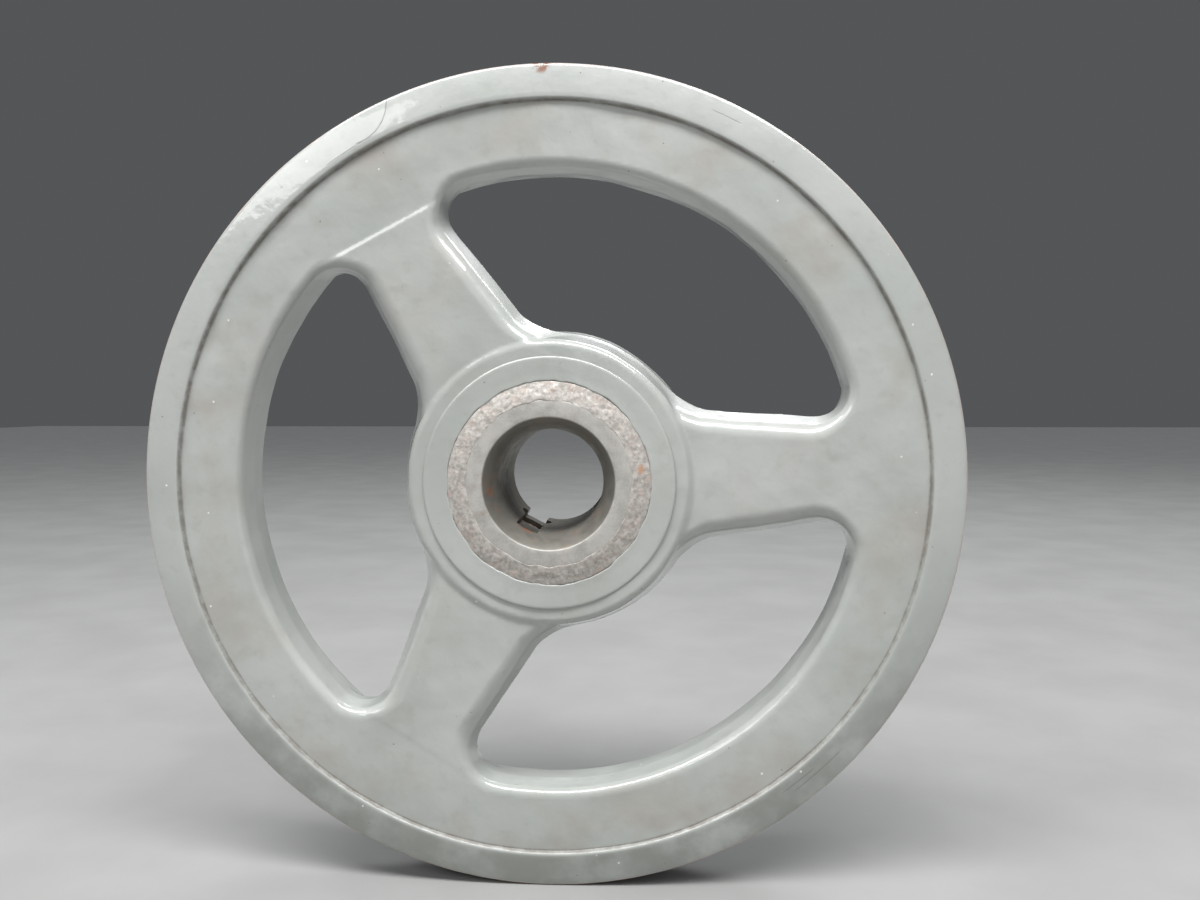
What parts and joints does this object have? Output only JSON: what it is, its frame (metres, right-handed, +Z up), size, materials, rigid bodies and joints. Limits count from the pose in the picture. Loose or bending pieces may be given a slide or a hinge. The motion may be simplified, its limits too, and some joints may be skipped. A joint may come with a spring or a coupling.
{
  "type": "v belt pulley",
  "caption": "Cast-iron V-belt pulley with one groove, curved-corner windows between its arms, a bushed keyed bore and set screws in the hub.",
  "frame": {"origin": "on the bore axis, in the middle plane of the belt groove", "axes": "+Y along the bore, from the front face with the bush's bell mouth to the rear of the hub; +Z up; +X to the right seen from the front"},
  "size_m": [0.2222, 0.0407, 0.2222],
  "materials": {
    "paint": "thick satin-gloss grey-green enamel over cast iron, dirt in the corners, worn edges",
    "bush_steel": "bare turned steel, dull, with light rust",
    "braze": "rough bare metal, speckled, with rust flecks",
    "screw_steel": "black oxide socket set screw, lightly rusted"
  },
  "bodies": {
    "pulley": {"rim": "paint", "front_flange": "paint", "rear_flange": "paint", "arm_1": "paint", "arm_2": "paint", "arm_3": "paint", "hub": "paint", "bore_bush": "bush_steel", "braze_fillet": "braze"},
    "key_screw": {"key_setscrew": "screw_steel"},
    "side_screw": {"side_setscrew": "screw_steel"}
  },
  "joints": [
    {"name": "key_screw_travel", "type": "slide", "parent": "pulley", "child": "key_screw", "axis": [-0.4602, 0, -0.8878], "range_m": [-0.001, 0.012]},
    {"name": "side_screw_travel", "type": "slide", "parent": "pulley", "child": "side_screw", "axis": [0.8878, 0, -0.4602], "range_m": [-0.001, 0.012]}
  ]
}
